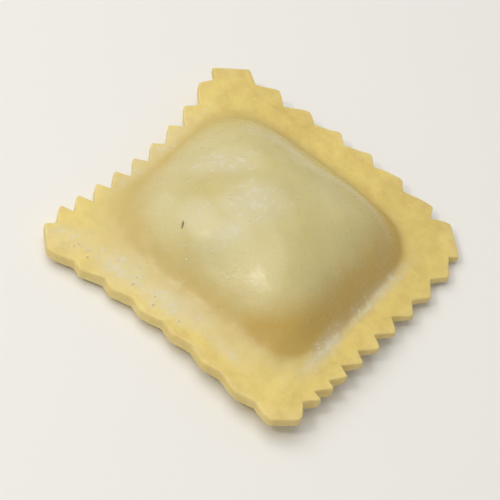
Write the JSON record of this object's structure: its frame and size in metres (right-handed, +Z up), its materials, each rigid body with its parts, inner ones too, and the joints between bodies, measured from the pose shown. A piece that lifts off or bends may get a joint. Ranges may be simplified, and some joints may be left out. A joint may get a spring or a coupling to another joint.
{
  "type": "ravioli",
  "caption": "Square raviolo of fresh uncooked egg pasta, with a domed filled middle and a flat rim cut by fluted wheels.",
  "frame": {"origin": "on the flat patch that the raviolo rests on, below the middle of the square between its cuts", "axes": "+Z up through the dome; the two sides with small pointed teeth face +X and -X, the two with broader teeth +Y and -Y"},
  "size_m": [0.0498, 0.0507, 0.0131],
  "materials": {
    "dough": "raw egg dough, pale yellow, with a soft sheen on the dome",
    "flour": "dry flour dust and semolina, dull and off-white"
  },
  "bodies": {
    "root": {"ravioli": "dough"}
  },
  "joints": []
}
